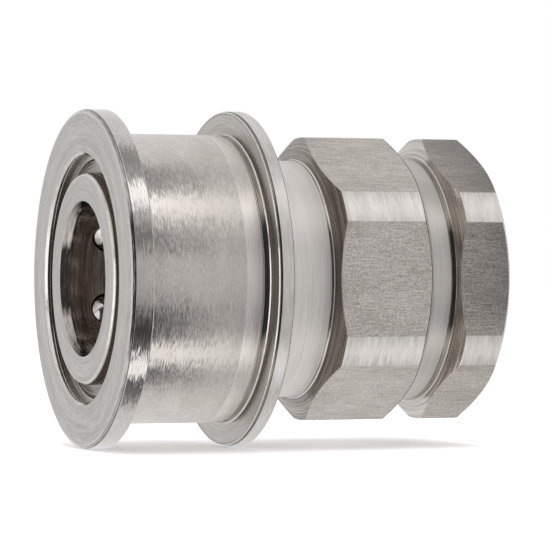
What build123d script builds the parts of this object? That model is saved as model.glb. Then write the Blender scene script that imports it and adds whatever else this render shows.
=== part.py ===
from build123d import *
from math import atan, cos, radians, sin, tan
import os

# Quick coupling socket with a pull-back sleeve, in millimetres.
# The axis of the coupling is X. The mouth opens towards -X, and the origin is the centre of
# the pipe port's end face. Two flats of each hexagon face -Y and +Y.
# Each profile is drawn in the XZ plane, with its radius along Z, and turned about X.

# Lengths along the axis, from the mouth to the pipe port
sleeve_length = 15.7
free_neck_length = 5.3
body_hex_length = 10.4
adapter_neck_length = 2.0
adapter_hex_length = 5.9

# Sleeve, outside
flange_radius = 16.15
front_flange_width = 2.2
rear_flange_width = 1.5
edge_break = 0.3
rear_edge_break = 0.1
barrel_radius = 13.86
root_groove_width = 0.65
root_groove_depth = 0.35
root_collar_width = 0.15
root_collar_rise = 0.1

# Sleeve, inside
mouth_radius = 11.9
mouth_step = 0.5
ledge_depth = 2.05
land_length = 1.2
sleeve_travel = 3.6
running_clearance = 0.05

# Body
body_setback = 0.14
nose_radius = 10.1
nose_edge = 0.25
bore_radius = 7.15
lead_in_radius = 7.42
lead_in_length = 0.85
bore_depth = 14.5
neck_radius = 11.47
sleeve_overlap = 1.5
root_fillet = 0.3

# Hexagons
across_flats = 25.4
hex_corner_radius = 13.8
hex_chamfer_angle = 30
hex_rim_radius = 12.0

# Locking balls
ball_count = 6
ball_radius = 1.985
ball_station = 4.87
first_ball_angle = 25
ball_protrusion = 0.85
ball_travel = 0.9
ball_clearance = 0.04
pocket_clearance = 0.06

# Retaining ring
ring_thickness = 0.6
ring_groove_depth = 0.6
ring_recess_gap = 0.07
ring_gap = 1.6
ring_clearance = 0.04

# Plug seal and its backup rings
seal_groove_start = 8.3
seal_wire = 1.78
seal_protrusion = 0.25
seal_room = 0.2
backup_width = 0.95
fit_gap = 0.04

# Sleeve spring and its washer
washer_thickness = 0.5
sleeve_wire = 0.8
sleeve_coils = 3
washer_rim_gap = 0.1

# Valve
throat_radius = 5.6
throat_length = 1.6
chamber_radius = 8.4
poppet_radius = 7.6
poppet_front_radius = 5.3
poppet_rim = 1.0
poppet_gap = 0.15
poppet_nose_radius = 2.0
poppet_nose_length = 1.4
stem_radius = 1.6
stem_proud = 0.4
poppet_seal_wire = 1.2
valve_wire = 0.6
valve_coils = 4
valve_spring_radius = 3.1

# Valve guide
guide_thickness = 1.6
guide_rim = 1.3
guide_hub_radius = 3.9
guide_boss_radius = 2.6
guide_boss_length = 1.3
guide_arm_width = 2.0
guide_arms = 3

# Adapter
adapter_neck_radius = 11.8
spigot_radius = 9.55
spigot_length = 4.9
through_radius = 5.4
thread_radius = 6.58
thread_length = 11.0
thread_lead_in = 0.4
adapter_seal_wire = 1.2

# Stations along X
mouth_x = -(sleeve_length + free_neck_length + body_hex_length
            + adapter_neck_length + adapter_hex_length)
sleeve_end_x = mouth_x + sleeve_length
body_hex_x = sleeve_end_x + free_neck_length
parting_x = body_hex_x + body_hex_length
adapter_hex_x = parting_x + adapter_neck_length
nose_x = mouth_x + body_setback
ledge_x = mouth_x + ledge_depth
ball_x = mouth_x + ball_station
neck_x = sleeve_end_x - sleeve_overlap
bore_end_x = nose_x + bore_depth
seat_x = bore_end_x + throat_length

# Ball cone of the sleeve: its slope is the ball's travel over the sleeve's travel
cone_angle = atan(ball_travel / sleeve_travel)
ball_centre_radius = bore_radius - ball_protrusion + ball_radius
cone_reach = (ball_radius + ball_clearance) / cos(cone_angle)
land_front_x = ball_x + (ball_radius + ball_clearance) * sin(cone_angle)
land_radius = ball_centre_radius + cone_reach - (land_front_x - ball_x) * tan(cone_angle)
land_back_x = land_front_x + land_length
ledge_radius = land_radius + (land_front_x - ledge_x) * tan(cone_angle)
sleeve_bore_radius = neck_radius + running_clearance

barrel_back_x = sleeve_end_x - rear_flange_width - root_collar_width - root_groove_width
collar_x = barrel_back_x + root_groove_width
rear_flange_x = collar_x + root_collar_width

ring_back_x = ledge_x - ring_clearance
ring_front_x = ring_back_x - ring_thickness
ring_bottom_radius = nose_radius - ring_groove_depth
ring_recess_x = ring_front_x - ring_clearance
ring_recess_radius = mouth_radius - mouth_step
ring_radius = ring_recess_radius - ring_recess_gap

seal_groove_x = mouth_x + seal_groove_start
seal_mean_radius = bore_radius - seal_protrusion + seal_wire / 2
seal_bottom_radius = seal_mean_radius + seal_wire / 2 + fit_gap
seal_x = seal_groove_x + fit_gap + backup_width + seal_room + seal_wire / 2
rear_backup_x = seal_x + seal_wire / 2 + seal_room
seal_groove_end_x = rear_backup_x + backup_width + fit_gap

spigot_x = parting_x - spigot_length
guide_x = spigot_x - guide_thickness - 2 * fit_gap
counterbore_radius = spigot_radius + fit_gap
seal_recess_width = adapter_seal_wire + 2 * fit_gap
seal_recess_x = parting_x - seal_recess_width
seal_recess_radius = spigot_radius + adapter_seal_wire + 2 * fit_gap

washer_x = neck_x - fit_gap - washer_thickness
coil_radius = (nose_radius + sleeve_bore_radius) / 2
poppet_back_x = (seat_x + (poppet_radius - throat_radius) + poppet_gap / cos(radians(45))
                 + poppet_rim)
poppet_cone_back_x = poppet_back_x - poppet_rim
poppet_front_x = poppet_cone_back_x - (poppet_radius - poppet_front_radius)
thread_start_x = -thread_length
guide_end_x = guide_x + fit_gap + guide_thickness + guide_boss_length
stem_end_x = guide_end_x + stem_proud

os.makedirs("parts", exist_ok=True)
across = Plane.YZ


def hex_rise(radius):
    """Length along the axis of the hexagon's corner chamfer, from a radius out to the corners."""
    return (hex_corner_radius - radius) * tan(radians(hex_chamfer_angle))


def ring_at(name, x, inner, outer, width):
    """A plain ring with a square section, written under its name."""
    with BuildPart() as ring:
        with BuildSketch(across.offset(x)):
            Circle(outer)
            Circle(inner, mode=Mode.SUBTRACT)
        extrude(amount=width)
    ring.part.label = name
    export_step(ring.part, f"parts/{name}.step")


def o_ring_at(name, x, mean_radius, wire):
    """A round-section ring about the axis, written under its name."""
    with BuildPart() as ring:
        with BuildSketch(Plane.XZ):
            with Locations((x, mean_radius)):
                Circle(wire / 2)
        revolve(axis=Axis.X)
    ring.part.label = name
    export_step(ring.part, f"parts/{name}.step")


def spring_at(name, front_x, back_x, mean_radius, wire, coils):
    """A wire spring about the axis between two faces, written under its name."""
    height = back_x - front_x - wire - 2 * fit_gap
    start = (front_x + fit_gap + wire / 2, 0, 0)
    with BuildPart() as spring:
        with BuildLine():
            helix = Helix(height / coils, height, mean_radius, center=start, direction=(1, 0, 0))
        with BuildSketch(Plane(origin=helix @ 0, z_dir=helix % 0)):
            Circle(wire / 2)
        sweep(is_frenet=True)
    spring.part.label = name
    export_step(spring.part, f"parts/{name}.step")


# Pull-back sleeve: two thin flanges on a plain barrel. Inside are a step, the recess and ledge
# that take the retaining ring, the cone and land that hold the balls in, and the spring's room.
with BuildPart() as sleeve:
    with BuildSketch(Plane.XZ):
        with BuildLine():
            Polyline(
                (mouth_x, mouth_radius + edge_break),
                (mouth_x, flange_radius - edge_break),
                (mouth_x + edge_break, flange_radius),
                (mouth_x + front_flange_width - edge_break, flange_radius),
                (mouth_x + front_flange_width, flange_radius - edge_break),
                (mouth_x + front_flange_width, barrel_radius),
                (barrel_back_x, barrel_radius),
                (collar_x - root_groove_depth / 2, barrel_radius - root_groove_depth),
                (collar_x, barrel_radius + root_collar_rise),
                (rear_flange_x, barrel_radius + root_collar_rise),
                (rear_flange_x, flange_radius - edge_break),
                (rear_flange_x + edge_break, flange_radius),
                (sleeve_end_x - rear_edge_break, flange_radius),
                (sleeve_end_x, flange_radius - rear_edge_break),
                (sleeve_end_x, sleeve_bore_radius + edge_break),
                (sleeve_end_x - edge_break, sleeve_bore_radius),
                (land_back_x, sleeve_bore_radius),
                (land_back_x, land_radius),
                (land_front_x, land_radius),
                (ledge_x, ledge_radius),
                (ledge_x, ring_recess_radius),
                (ring_recess_x, ring_recess_radius),
                (ring_recess_x, mouth_radius),
                (mouth_x + edge_break, mouth_radius),
                close=True,
            )
        make_face()
    revolve(axis=Axis.X)
sleeve.part.label = "sleeve"
export_step(sleeve.part, "parts/sleeve.step")

# Coupler body: nose with the ball holes and ring groove, neck, hexagon, and the valve's seat
with BuildPart() as body:
    with BuildSketch(Plane.XZ):
        with BuildLine():
            Polyline(
                (nose_x, lead_in_radius),
                (nose_x, nose_radius - nose_edge),
                (nose_x + nose_edge, nose_radius),
                (neck_x, nose_radius),
                (neck_x, neck_radius),
                (body_hex_x, neck_radius),
                (body_hex_x + hex_rise(neck_radius), hex_corner_radius),
                (parting_x - hex_rise(hex_rim_radius), hex_corner_radius),
                (parting_x, hex_rim_radius),
                (parting_x, seal_recess_radius),
                (seal_recess_x, seal_recess_radius),
                (seal_recess_x, counterbore_radius),
                (guide_x, counterbore_radius),
                (guide_x, chamber_radius),
                (seat_x + chamber_radius - throat_radius, chamber_radius),
                (seat_x, throat_radius),
                (bore_end_x, throat_radius),
                (bore_end_x, bore_radius),
                (nose_x + lead_in_length, bore_radius),
                close=True,
            )
        make_face()
        fillet(vertices().sort_by_distance((body_hex_x, neck_radius))[0], root_fillet)
    revolve(axis=Axis.X)
    with BuildSketch(across.offset(body_hex_x)):
        Circle(hex_corner_radius + 1)
        RegularPolygon(across_flats / 2, 6, major_radius=False, rotation=30, mode=Mode.SUBTRACT)
    extrude(amount=body_hex_length, mode=Mode.SUBTRACT)
    with BuildSketch(across.offset(ring_front_x - ring_clearance)):
        Circle(nose_radius + 1)
        Circle(ring_bottom_radius, mode=Mode.SUBTRACT)
    extrude(amount=ring_thickness + 2 * ring_clearance, mode=Mode.SUBTRACT)
    with BuildSketch(across.offset(seal_groove_x)):
        Circle(seal_bottom_radius)
    extrude(amount=seal_groove_end_x - seal_groove_x, mode=Mode.SUBTRACT)
    with Locations(across.offset(ball_x)):
        with PolarLocations(ball_centre_radius, ball_count, start_angle=180 - first_ball_angle):
            Sphere(ball_radius + pocket_clearance, mode=Mode.SUBTRACT)
            Cylinder(
                ball_radius + pocket_clearance,
                nose_radius,
                rotation=(0, 90, 0),
                align=(Align.CENTER, Align.CENTER, Align.MIN),
                mode=Mode.SUBTRACT,
            )
body.part.label = "body"
export_step(body.part, "parts/body.step")

# Adapter: a spigot that screws into the body, a short neck, a hexagon and the pipe port
with BuildPart() as adapter:
    with BuildSketch(Plane.XZ):
        with BuildLine():
            Polyline(
                (spigot_x, through_radius),
                (spigot_x, spigot_radius - edge_break),
                (spigot_x + edge_break, spigot_radius),
                (parting_x, spigot_radius),
                (parting_x, adapter_neck_radius),
                (adapter_hex_x, adapter_neck_radius),
                (adapter_hex_x + hex_rise(adapter_neck_radius), hex_corner_radius),
                (-hex_rise(hex_rim_radius), hex_corner_radius),
                (0, hex_rim_radius),
                (0, thread_radius + thread_lead_in),
                (-thread_lead_in, thread_radius),
                (thread_start_x, thread_radius),
                (thread_start_x - thread_radius + through_radius, through_radius),
                close=True,
            )
        make_face()
        fillet(vertices().sort_by_distance((adapter_hex_x, adapter_neck_radius))[0], root_fillet)
    revolve(axis=Axis.X)
    with BuildSketch(across.offset(adapter_hex_x)):
        Circle(hex_corner_radius + 1)
        RegularPolygon(across_flats / 2, 6, major_radius=False, rotation=30, mode=Mode.SUBTRACT)
    extrude(amount=adapter_hex_length, mode=Mode.SUBTRACT)
adapter.part.label = "adapter"
export_step(adapter.part, "parts/adapter.step")

# Locking balls, each on its own radial line. Angle 0 faces -Y and 90 faces +Z.
for index in range(ball_count):
    with BuildPart() as ball:
        with Locations(across.offset(ball_x)):
            with PolarLocations(
                ball_centre_radius, 1, start_angle=180 - first_ball_angle - index * 360 / ball_count
            ):
                Sphere(ball_radius)
    ball.part.label = f"locking_ball_{index + 1}"
    export_step(ball.part, f"parts/locking_ball_{index + 1}.step")

# Retaining ring: a flat split ring in the nose's groove, its gap turned away to +Y
with BuildPart() as retaining_ring:
    with BuildSketch(across.offset(ring_front_x)):
        Circle(ring_radius)
        Circle(ring_bottom_radius + fit_gap, mode=Mode.SUBTRACT)
        with Locations((ring_radius, 0)):
            Rectangle(ring_radius, ring_gap, mode=Mode.SUBTRACT)
    extrude(amount=ring_thickness)
retaining_ring.part.label = "retaining_ring"
export_step(retaining_ring.part, "parts/retaining_ring.step")

# Seal of the plug, between two backup rings in one groove of the bore
o_ring_at("plug_seal", seal_x, seal_mean_radius, seal_wire)
backup_inner = bore_radius + fit_gap
backup_outer = seal_bottom_radius - fit_gap
ring_at("backup_ring_front", seal_groove_x + fit_gap, backup_inner, backup_outer, backup_width)
ring_at("backup_ring_rear", rear_backup_x, backup_inner, backup_outer, backup_width)

# Spring that pushes the sleeve forward, and the washer that it turns on
ring_at(
    "spring_washer",
    washer_x,
    nose_radius + washer_rim_gap,
    sleeve_bore_radius - washer_rim_gap,
    washer_thickness,
)
spring_at("sleeve_spring", land_back_x, washer_x, coil_radius, sleeve_wire, sleeve_coils)

# Seal between the body and the adapter, at the parting line
o_ring_at(
    "adapter_seal",
    seal_recess_x + seal_recess_width / 2,
    spigot_radius + fit_gap + adapter_seal_wire / 2,
    adapter_seal_wire,
)

# Valve poppet: a nose that the plug pushes, a conical head with its seal's groove, and a stem
poppet_seal_radius = (poppet_front_radius + poppet_radius) / 2
seat_gap_along = (poppet_seal_wire / 2 + fit_gap) / cos(radians(45))
poppet_seal_x = seat_x + poppet_seal_radius - throat_radius + seat_gap_along
with BuildPart() as poppet:
    with BuildSketch(Plane.XZ):
        with BuildLine():
            Polyline(
                (poppet_front_x - poppet_nose_length, 0),
                (poppet_front_x - poppet_nose_length, poppet_nose_radius - edge_break),
                (poppet_front_x - poppet_nose_length + edge_break, poppet_nose_radius),
                (poppet_front_x, poppet_nose_radius),
                (poppet_front_x, poppet_front_radius),
                (poppet_cone_back_x, poppet_radius),
                (poppet_back_x, poppet_radius),
                (poppet_back_x, stem_radius),
                (stem_end_x - edge_break, stem_radius),
                (stem_end_x, stem_radius - edge_break),
                (stem_end_x, 0),
                close=True,
            )
        make_face()
        with Locations((poppet_seal_x, poppet_seal_radius)):
            Circle(poppet_seal_wire / 2 + fit_gap, mode=Mode.SUBTRACT)
    revolve(axis=Axis.X)
poppet.part.label = "poppet"
export_step(poppet.part, "parts/poppet.step")
o_ring_at("poppet_seal", poppet_seal_x, poppet_seal_radius, poppet_seal_wire)

# Valve guide: a rim held between the body and the adapter, three arms, and a hub for the stem
with BuildPart() as valve_guide:
    with BuildSketch(across.offset(guide_x + fit_gap)):
        Circle(spigot_radius)
        Circle(spigot_radius - guide_rim, mode=Mode.SUBTRACT)
        Circle(guide_hub_radius)
        with PolarLocations(spigot_radius / 2, guide_arms):
            Rectangle(spigot_radius - guide_rim, guide_arm_width)
    extrude(amount=guide_thickness)
    with BuildSketch(across.offset(guide_x + fit_gap + guide_thickness)):
        Circle(guide_boss_radius)
    extrude(amount=guide_boss_length)
    with BuildSketch(across.offset(guide_x + fit_gap)):
        Circle(stem_radius + running_clearance)
    extrude(amount=guide_thickness + guide_boss_length, mode=Mode.SUBTRACT)
valve_guide.part.label = "valve_guide"
export_step(valve_guide.part, "parts/valve_guide.step")

# Spring that shuts the valve, between the poppet's head and the guide's hub
spring_at("valve_spring", poppet_back_x, guide_x, valve_spring_radius, valve_wire, valve_coils)
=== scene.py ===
# %% [markdown]
# Quick coupling socket
#
# A stainless quick coupling: a spool-shaped sleeve that slides back on a turned body, six
# locking balls, a hexagon and a hexagon adapter with a pipe thread. Nearly every piece of the
# real object comes off a lathe, so nearly every piece here is a profile turned about the X axis.
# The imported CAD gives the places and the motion. This script makes the finished surfaces.

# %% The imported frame
from math import cos, pi, radians, sin, tan

import bmesh
import bpy
import numpy as np
from mathutils import Matrix, Vector


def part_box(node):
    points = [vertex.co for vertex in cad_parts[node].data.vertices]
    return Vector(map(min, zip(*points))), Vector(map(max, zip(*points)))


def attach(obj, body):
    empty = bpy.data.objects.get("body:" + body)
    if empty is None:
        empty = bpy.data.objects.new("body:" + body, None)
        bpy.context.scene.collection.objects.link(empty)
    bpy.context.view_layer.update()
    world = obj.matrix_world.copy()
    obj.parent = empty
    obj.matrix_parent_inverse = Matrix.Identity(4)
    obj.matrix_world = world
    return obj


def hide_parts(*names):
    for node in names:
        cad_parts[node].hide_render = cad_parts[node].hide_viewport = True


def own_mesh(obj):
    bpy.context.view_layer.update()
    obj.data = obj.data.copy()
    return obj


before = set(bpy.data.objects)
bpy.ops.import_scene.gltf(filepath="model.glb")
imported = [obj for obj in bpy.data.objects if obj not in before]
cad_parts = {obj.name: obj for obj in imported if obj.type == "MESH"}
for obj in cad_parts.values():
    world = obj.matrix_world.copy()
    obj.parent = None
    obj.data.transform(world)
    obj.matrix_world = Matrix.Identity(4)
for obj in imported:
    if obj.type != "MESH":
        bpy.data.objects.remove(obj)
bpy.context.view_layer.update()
MM = 0.001

# %% [markdown]
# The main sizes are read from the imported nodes, so that each surface lies where its solid does.
# They are in millimetres, with X along the axis and the radius measured from it.


# %% Sizes read from the frame
def ends_of(node):
    """The lowest and highest X of a node, and its largest radius, read along Z."""
    low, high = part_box(node)
    return low.x / MM, high.x / MM, high.z / MM


mouth_x, sleeve_end_x, flange_radius = ends_of("sleeve")
nose_x, parting_x, hex_corner_radius = ends_of("body")
spigot_x, port_x, _ = ends_of("adapter")
across_flats = 2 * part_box("body")[1].y / MM
print(f"length {port_x - mouth_x:.1f} mm, flange {2 * flange_radius:.1f} mm, hexagon {across_flats:.1f} mm")

# %% [markdown]
# The camera stands where the photograph's did: level with the axis, turned 20.4 degrees away
# from square, with a long lens. Its distance and offset come from the ellipses of the flanges
# and the lines of the hexagon, measured in pixels and turned into millimetres with one scale.

# %% Camera
MM_PER_PIXEL = 0.0951
FRAME_PIXELS = 550
DISTANCE_PIXELS = 3285.8
MOUTH_LEFT_PIXELS = 194.5
MOUTH_BELOW_PIXELS = 3.9
SENSOR_MM = 36
turn = radians(20.42)
forward = Vector((sin(turn), cos(turn), 0))
right = Vector((cos(turn), -sin(turn), 0))
up = Vector((0, 0, 1))

camera_data = bpy.data.cameras.new("photo_camera")
camera_data.sensor_width = SENSOR_MM
camera_data.lens = SENSOR_MM * DISTANCE_PIXELS / FRAME_PIXELS
camera = bpy.data.objects.new("photo_camera", camera_data)
eye = Vector((mouth_x, 0, 0)) + MM_PER_PIXEL * (
    right * MOUTH_LEFT_PIXELS + up * MOUTH_BELOW_PIXELS - forward * DISTANCE_PIXELS
)
axes = Matrix((right, up, -forward)).transposed().to_4x4()
camera.matrix_world = Matrix.Translation(eye * MM) @ axes
bpy.context.scene.collection.objects.link(camera)
bpy.context.scene.camera = camera
print(f"lens {camera_data.lens:.0f} mm, {-eye.y:.0f} mm in front of the axis")

# %% [markdown]
# A turned piece is a profile carried round the axis: a list of corners, drawn as it would be for
# the lathe. Real corners are never sharp: each is broken by a file or worn round, and that thin
# line catches the light. So every corner is softened first, with the flats beside it kept flat.

# %% Profiles
CUT_SHARE = 0.24
CORNER_STEPS = 3
POINTS_PER_CORNER = CORNER_STEPS + 3
RADIUS_SHARE = 1.3


def softened(path, cuts, closed=True):
    """A path with rounded corners: a corner P between the unit directions u and v becomes the
    curve P + (1 - s)^2 c u + s^2 c v for s from 0 to 1, where c is its cut. A point 2 c out on
    each side holds the flats, and c is at most CUT_SHARE of the shorter side."""
    path = np.asarray(path, float)
    cuts = np.broadcast_to(np.asarray(cuts, float), path.shape[:-1])
    back = np.roll(path, 1, axis=-2) - path
    ahead = np.roll(path, -1, axis=-2) - path
    back_length = np.linalg.norm(back, axis=-1)
    ahead_length = np.linalg.norm(ahead, axis=-1)
    cut = np.minimum(cuts, CUT_SHARE * np.minimum(back_length, ahead_length))[..., None]
    u = cut * back / back_length[..., None]
    v = cut * ahead / ahead_length[..., None]
    s = np.linspace(0, 1, CORNER_STEPS + 1)[:, None]
    curve = path[..., None, :] + u[..., None, :] * (1 - s) ** 2 + v[..., None, :] * s**2
    held = [(path + 2 * u)[..., None, :], curve, (path + 2 * v)[..., None, :]]
    held = np.concatenate(held, axis=-2)
    if closed:
        return held.reshape(*path.shape[:-2], -1, 2)
    inner = held[..., 1:-1, :, :].reshape(*path.shape[:-2], -1, 2)
    return np.concatenate([path[..., :1, :], inner, path[..., -1:, :]], axis=-2)


def turned(path, angles):
    """The profile (x, r) carried round X: the point at angle t is (x, -r cos t, r sin t), so that
    0 faces the camera's side, -Y, and 90 degrees is up. The path may differ from angle to angle."""
    path = np.broadcast_to(path, (len(angles),) + path.shape[-2:])
    x, r = path[..., 0], path[..., 1]
    t = np.radians(angles)[:, None]
    return np.stack([x, -r * np.cos(t), r * np.sin(t)], axis=-1)


def length_along(path):
    """How far each point is along its profile, in millimetres: the running sum of the steps."""
    steps = np.linalg.norm(np.diff(path, axis=0), axis=-1)
    return np.append(0, np.cumsum(steps))


def from_place(points):
    """Where the marks lie on a piece whose outline changes round the axis: x + RADIUS_SHARE r.
    It is the same all round, so the marks stay circles, as a lathe leaves them."""
    return points[..., 0] + RADIUS_SHARE * np.hypot(points[..., 1], points[..., 2])


def quads(columns, points, closed):
    """The faces of a grid that closes round its columns, and along its points too if closed."""
    column = np.arange(columns)[:, None]
    point = np.arange(points if closed else points - 1)[None, :]
    beside = (column + 1) % columns
    above = (point + 1) % points
    corners = (column, point), (column, above), (beside, above), (beside, point)
    corners = np.broadcast_arrays(*[c * points + p for c, p in corners])
    return np.stack(corners, axis=-1).reshape(-1, 4)


def even_angles(count):
    """Equal angles round the axis, in degrees."""
    return np.arange(count) * 360 / count


print(f"a softened corner has {POINTS_PER_CORNER} points")

# %% [markdown]
# One function makes the Blender object from its grids: it joins them, merges the points that
# fall together, and turns every face outwards. It keeps two things for the materials: which
# finish each face has, and how far along the profile each point lies, because the marks of a
# lathe follow the profile.

# %% From grids to pieces
MERGE_MM = 0.0005
SLIVER_MM = 0.0002


def make_piece(name, grids, finishes, body, slot, *nodes):
    """grids is a list of (points, along, closed, finish): points in millimetres, and finish as an
    index into finishes, one for all or one for each face."""
    mesh = bpy.data.meshes.new(name)
    corners, along, faces, finish = [], [], [], []
    start = 0
    for points, along_points, closed, face_finish in grids:
        columns, count = points.shape[:2]
        made = quads(columns, count, closed)
        faces.append(made + start)
        finish.append(np.broadcast_to(face_finish, (columns, len(made) // columns)).ravel())
        corners.append(points.reshape(-1, 3))
        along.append(np.broadcast_to(along_points, (columns, count)).ravel())
        start += columns * count
    corners = np.concatenate(corners) * MM
    mesh.from_pydata(corners.tolist(), [], np.concatenate(faces).tolist())
    mesh.polygons.foreach_set("material_index", np.concatenate(finish).astype(np.int32))
    mesh.polygons.foreach_set("use_smooth", np.ones(len(mesh.polygons), bool))
    marks = mesh.attributes.new("along", "FLOAT", "POINT")
    marks.data.foreach_set("value", np.concatenate(along).astype(np.float32))
    edit = bmesh.new()
    edit.from_mesh(mesh)
    bmesh.ops.remove_doubles(edit, verts=edit.verts, dist=MERGE_MM * MM)
    bmesh.ops.dissolve_degenerate(edit, dist=SLIVER_MM * MM, edges=edit.edges)
    bmesh.ops.recalc_face_normals(edit, faces=edit.faces)
    open_edges = sum(edge.is_boundary for edge in edit.edges)
    edit.to_mesh(mesh)
    edit.free()
    for material in finishes:
        mesh.materials.append(material)
    piece = bpy.data.objects.new(name, mesh)
    bpy.context.scene.collection.objects.link(piece)
    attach(piece, body)
    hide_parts(*nodes)
    print(f"{name}: {len(mesh.polygons)} faces, {open_edges} open edges")
    return piece


def grid_of(path, angles, closed=True, finish=0):
    """The grid of a profile. Its marks go by the length along it, or by their place where the
    profile differs from angle to angle."""
    points = turned(path, angles)
    along = length_along(path) if path.ndim == 2 else from_place(points)
    return points, along, closed, finish


def turn_piece(name, outline, body, slot, *nodes, columns=288):
    """A piece turned from one closed outline of rows (x, r, cut, finish): a corner, how far it is
    cut back, and the finish of the side that follows it."""
    path = softened([row[:2] for row in outline], [row[2] for row in outline])
    sides = [row[3] for row in outline]
    finishes = list(dict.fromkeys(sides))
    finish = np.repeat([finishes.index(side) for side in sides], POINTS_PER_CORNER)
    grid = grid_of(path, even_angles(columns), finish=finish[None, :])
    return make_piece(name, [grid], finishes, body, slot, *nodes)


def ring_outline(node, inner, cut, finish):
    """The four corners of a flat ring that fills its node's length, from inner to its radius."""
    low_x, high_x, outer = ends_of(node)
    corners = (low_x, inner), (low_x, outer), (high_x, outer), (high_x, inner)
    return [(*corner, cut, finish) for corner in corners]


# %% [markdown]
# A material is a small network of nodes. One helper adds a node with its settings and what feeds
# it. Colours are written as they look on a screen, in sRGB hex, and turned linear in one place.


# %% Nodes and colours
def linear(hex_colour):
    """An sRGB hex colour as linear red, green, blue, alpha: c / 12.92 up to 0.04045, and above it
    ((c + 0.055) / 1.055) to the power 2.4."""
    values = np.array([int(hex_colour[i : i + 2], 16) for i in (1, 3, 5)]) / 255
    low, high = values / 12.92, ((values + 0.055) / 1.055) ** 2.4
    return (*np.where(values <= 0.04045, low, high).tolist(), 1.0)


def add(tree, kind, inputs=None, **settings):
    """One shader node: settings are its own, and inputs its sockets, each a value, another's
    output, or another node, which stands for its first output."""
    node = tree.nodes.new("ShaderNode" + kind)
    for key, value in settings.items():
        setattr(node, key, value)
    for key, value in (inputs or {}).items():
        if isinstance(value, bpy.types.Node):
            value = value.outputs[0]
        if isinstance(value, bpy.types.NodeSocket):
            tree.links.new(value, node.inputs[key])
        else:
            node.inputs[key].default_value = value
    return node


def new_material(name):
    """An empty material and its node tree."""
    material = bpy.data.materials.new(name)
    material.use_nodes = True
    material.node_tree.nodes.clear()
    return material, material.node_tree


def noise_at(tree, where, sizes, seed, detail):
    """A noise whose blotches have the given sizes along the three axes of where. The seed moves
    it, so that no two noises of a material agree."""
    scale = tuple(1 / size for size in sizes)
    placed = add(tree, "Mapping", {"Vector": where, "Location": (seed,) * 3, "Scale": scale})
    return add(tree, "TexNoise", {"Vector": placed, "Scale": 1.0, "Detail": detail})


def shown_by(tree, noises, light, dark, shine, depth, **bump):
    """What three noises, each mostly between 0.3 and 0.7, do to a surface: the first runs from the
    dark tone to the light one, the second from the least roughness of shine to the most, and the
    third is relief, depth mm deep."""
    tone, rough, height = noises
    ramp = add(tree, "ValToRGB", {0: tone})
    for stop, position, colour in zip(ramp.color_ramp.elements, (0.36, 0.64), (dark, light)):
        stop.position, stop.color = position, linear(colour)
    span = {"Value": rough, "From Min": 0.3, "From Max": 0.7, "To Min": shine[0], "To Max": shine[1]}
    relief = {"Height": height, "Strength": 1.0, "Distance": depth * MM, **bump}
    roughness, normal = add(tree, "MapRange", span), add(tree, "Bump", relief)
    return {"Base Color": ramp, "Roughness": roughness, "Normal": normal}


print("mid grey, linear:", round(linear("#808080")[0], 4))

# %% [markdown]
# The steel is an austenitic stainless, the usual one for such couplings. It is not plated or
# painted, so its look is the tool's. A lathe leaves fine rings that follow the profile. They do
# three things to a reflection: they stretch it along the axis, which is the shader's anisotropy;
# they leave its edges ragged, because each scratch leans a little its own way; and they show as
# faint lines. The lines and the lean are one kind of noise, which runs fast along the profile and
# slowly round it. A real feed mark is about 0.05 to 0.1 mm wide, a pixel or less here, so most
# marks are drawn a little coarser. Each cut of the tool has tones and marks of its own.


# %% Turned stainless steel
def lathed(name, light, dark, shine, stretch, mark, dash, lean, slope, band=1.6, fade=None):
    """Rings along the profile. light and dark are the two tones, shine the least and most
    roughness, stretch the anisotropy, mark the width and dash the length of a scratch in mm, lean
    how far it tilts the surface about the axis, slope its steepness, and band the width in mm
    of broad, faint bands. fade is (from x, to x, how much rougher the surface gets between)."""
    material, tree = new_material(name)
    place = add(tree, "SeparateXYZ", {0: add(tree, "TexCoord").outputs["Object"]}).outputs
    along = add(tree, "Attribute", attribute_name="along").outputs["Fac"]
    where = add(tree, "CombineXYZ", {0: along, 1: place["Y"], 2: place["Z"]})

    def rings(width, length, seed, detail):
        """Noise with one line per width along the profile, and one dash per length around."""
        return noise_at(tree, where, (width, length * MM, length * MM), seed, detail)

    scratches = rings(mark, dash, 3.1, 1.0)
    leaning = rings(1.3 * mark, 1.4 * dash, 17.3, 2.0)
    bands = rings(band, 8 * dash, 41.9, 3.0)
    lines = add(tree, "Mix", {0: 0.4, 2: scratches, 3: bands}, data_type="FLOAT")
    tangent = add(tree, "Tangent", direction_type="RADIAL", axis="X")
    amount = add(tree, "Math", {0: leaning, 1: 4 * lean, 2: -2 * lean}, operation="MULTIPLY_ADD")
    tilt = add(tree, "VectorMath", {0: tangent, "Scale": amount}, operation="SCALE")
    normal = add(tree, "NewGeometry").outputs["Normal"]
    leant = add(tree, "VectorMath", {0: normal, 1: tilt}, operation="ADD")
    combed = add(tree, "VectorMath", {0: leant}, operation="NORMALIZE")
    noises = lines, scratches, scratches
    surface = shown_by(tree, noises, light, dark, shine, slope * mark, Normal=combed)
    if fade:
        start, end, rise = fade
        reach = {"Value": place["X"], "From Min": start * MM, "From Max": end * MM, "To Max": rise}
        duller = {0: surface["Roughness"], 1: add(tree, "MapRange", reach)}
        surface["Roughness"] = add(tree, "Math", duller, operation="ADD")
    combing = {"Anisotropic": stretch, "Anisotropic Rotation": 0.25, "Tangent": tangent}
    steel = add(tree, "BsdfPrincipled", {**surface, **combing, "Metallic": 1.0})
    add(tree, "OutputMaterial", {0: steel})
    return material


# In each call: name, light, dark, shine, stretch, mark, dash, lean, slope, and sometimes band.
# A facing cut gives an even, silky grey with fine circles.
faced = lathed("faced_flange_steel", "#CECAC6", "#ACA8A4", (0.2, 0.3), 0.4, 0.13, 2.2, 0.02, 0.05, 0.7)
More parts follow.
